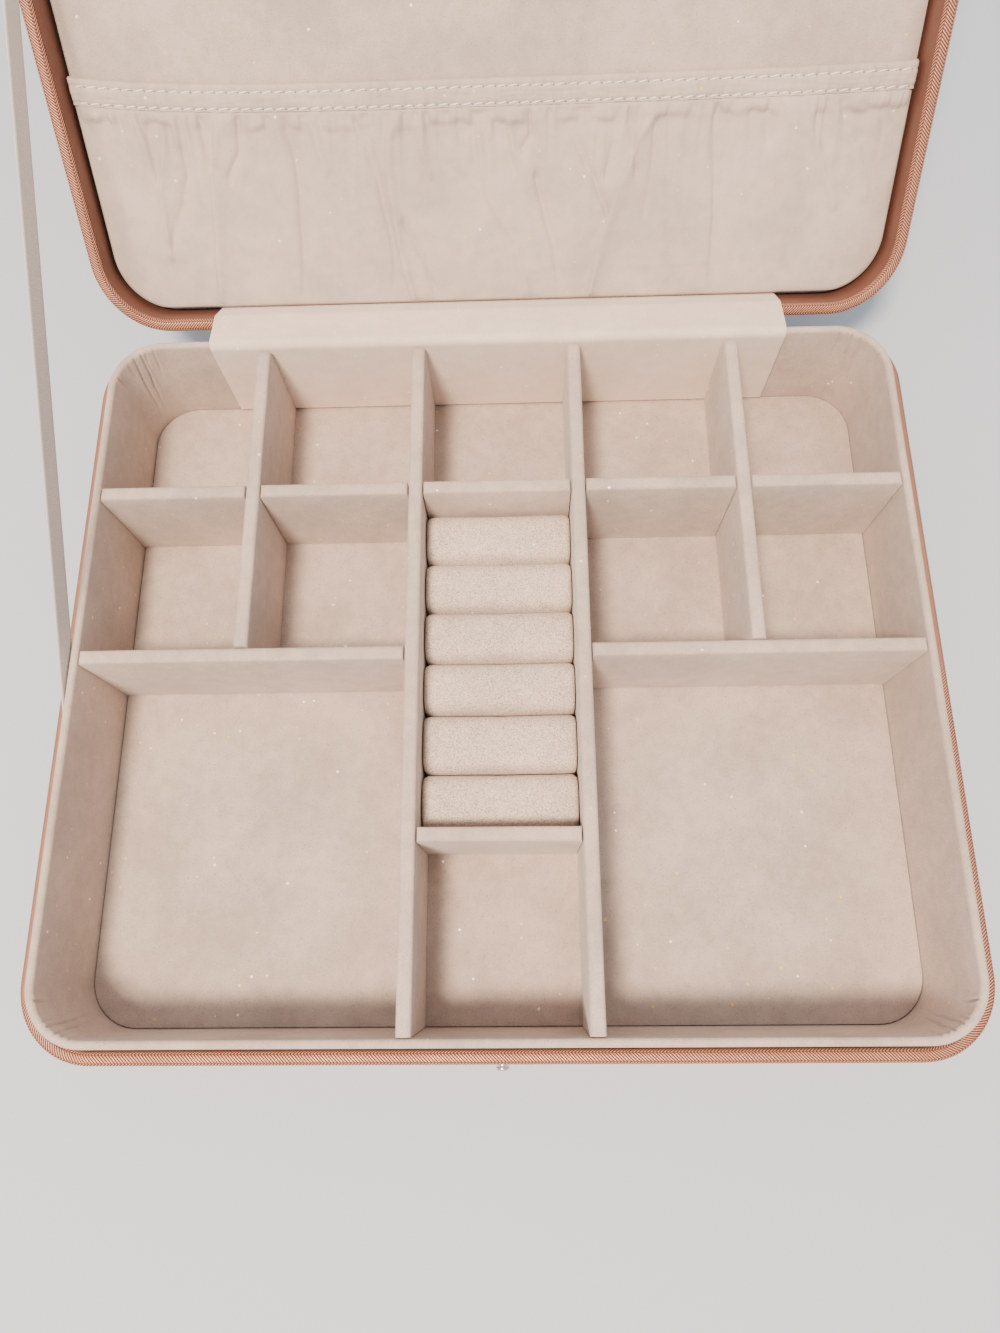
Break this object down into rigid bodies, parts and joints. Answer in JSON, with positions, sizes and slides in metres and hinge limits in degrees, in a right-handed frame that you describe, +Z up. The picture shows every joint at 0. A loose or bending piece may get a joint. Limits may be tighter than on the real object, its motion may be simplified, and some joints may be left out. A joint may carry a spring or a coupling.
{
  "type": "jewelry organizer box",
  "caption": "Low rounded jewelry box with a divided velvet tray, ring rolls and a hinged lid with a lining pad, gathered pocket, stay ribbon and snap tab.",
  "frame": {"origin": "centre of the case's underside, on the surface it rests on", "axes": "+Z up, +Y from the front with the snap stud to the hinge at the back, +X to the right seen from the front"},
  "size_m": [0.2432, 0.3524, 0.218],
  "materials": {
    "rose_leatherette": "rose-gold leatherette with a fine embossed twill",
    "smooth_leatherette": "smooth satin copper leatherette",
    "greyboard": "raw pressed board, hidden",
    "velvet": "short pile velvet",
    "pad_velvet": "short pile velvet",
    "woven_tape": "woven ribbon",
    "elastic": "covered elastic tape",
    "nickel": "polished nickel plate",
    "backing_paper": "dark non-woven backing sheet"
  },
  "bodies": {
    "base": {"base_board": "greyboard", "base_wrap": "rose_leatherette", "bottom_cover": "backing_paper", "base_liner": "velvet", "floor_pad": "velvet", "divider_long_left": "velvet", "divider_long_right": "velvet", "divider_short_left": "velvet", "divider_short_right": "velvet", "cross_back_1": "velvet", "cross_back_2": "velvet", "cross_back_3": "velvet", "cross_back_4": "velvet", "cross_back_5": "velvet", "cross_middle_left": "velvet", "cross_middle_right": "velvet", "ring_well_front": "velvet", "ring_roll_1": "velvet", "ring_roll_2": "velvet", "ring_roll_3": "velvet", "ring_roll_4": "velvet", "ring_roll_5": "velvet", "ring_roll_6": "velvet", "snap_stud": "nickel", "stud_washer": "nickel", "hinge_strap": "rose_leatherette", "hinge_flap": "velvet", "stay_ribbon": "woven_tape"},
    "lid": {"lid_board": "greyboard", "lid_wrap": "rose_leatherette", "lid_wall_band": "smooth_leatherette", "lid_pad_board": "greyboard", "lid_pad": "pad_velvet", "pocket_cloth": "velvet", "pocket_band": "pad_velvet", "pocket_elastic": "elastic", "tab_root": "rose_leatherette"},
    "tab": {"closure_tab": "rose_leatherette", "snap_cap": "nickel", "snap_socket": "nickel"}
  },
  "joints": [
    {"name": "lid_hinge", "type": "hinge", "parent": "base", "child": "lid", "pos_m": [0, 0.1062, 0.0324], "axis": [1, 0, 0], "range_deg": [0, 127], "deforming": ["hinge_strap", "hinge_flap", "stay_ribbon"]},
    {"name": "tab_flex", "type": "hinge", "parent": "lid", "child": "tab", "pos_m": [0, 0.23554, 0.20139], "axis": [-1, 0, 0], "range_deg": [0, 110]}
  ]
}
